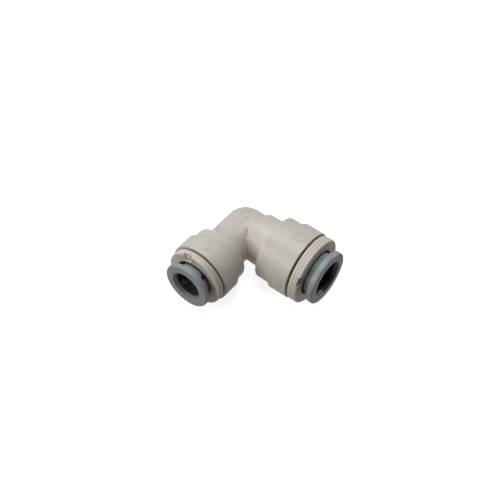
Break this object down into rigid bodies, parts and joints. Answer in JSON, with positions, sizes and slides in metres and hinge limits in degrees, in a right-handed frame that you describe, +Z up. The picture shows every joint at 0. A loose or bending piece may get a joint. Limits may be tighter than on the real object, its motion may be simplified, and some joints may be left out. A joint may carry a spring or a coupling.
{
  "type": "push to connect reducing elbow",
  "caption": "Plastic push-to-connect elbow that joins two tubes of different size at a right angle, each gripped and released by a sliding collet.",
  "frame": {"origin": "centre of the part's box in plan, at its lowest point, the underside of the large barrel", "axes": "+X points out of the large port, -Y points out of the small port, +Z is up, square to both port axes"},
  "size_m": [0.0376, 0.0364, 0.0204],
  "materials": {
    "body_acetal": "satin warm grey acetal, faintly mottled",
    "cap_acetal": "satin warm grey acetal",
    "collet_acetal": "satin blue-grey acetal",
    "seal_rubber": "black nitrile rubber with a thin film of grease",
    "stainless": "bright stainless strip"
  },
  "bodies": {
    "fitting": {"elbow_body": "body_acetal", "large_cap": "cap_acetal", "small_cap": "cap_acetal", "large_o_ring": "seal_rubber", "small_o_ring": "seal_rubber"},
    "large_release": {"large_collet": "collet_acetal", "large_tooth_1": "stainless", "large_tooth_2": "stainless", "large_tooth_3": "stainless", "large_tooth_4": "stainless", "large_tooth_5": "stainless", "large_tooth_6": "stainless"},
    "small_release": {"small_collet": "collet_acetal", "small_tooth_1": "stainless", "small_tooth_2": "stainless", "small_tooth_3": "stainless", "small_tooth_4": "stainless"}
  },
  "joints": [
    {"name": "large_collet_slide", "type": "slide", "parent": "fitting", "child": "large_release", "axis": [1, 0, 0], "range_m": [-0.0018, 0]},
    {"name": "small_collet_slide", "type": "slide", "parent": "fitting", "child": "small_release", "axis": [0, -1, 0], "range_m": [-0.0014, 0.0006]}
  ]
}
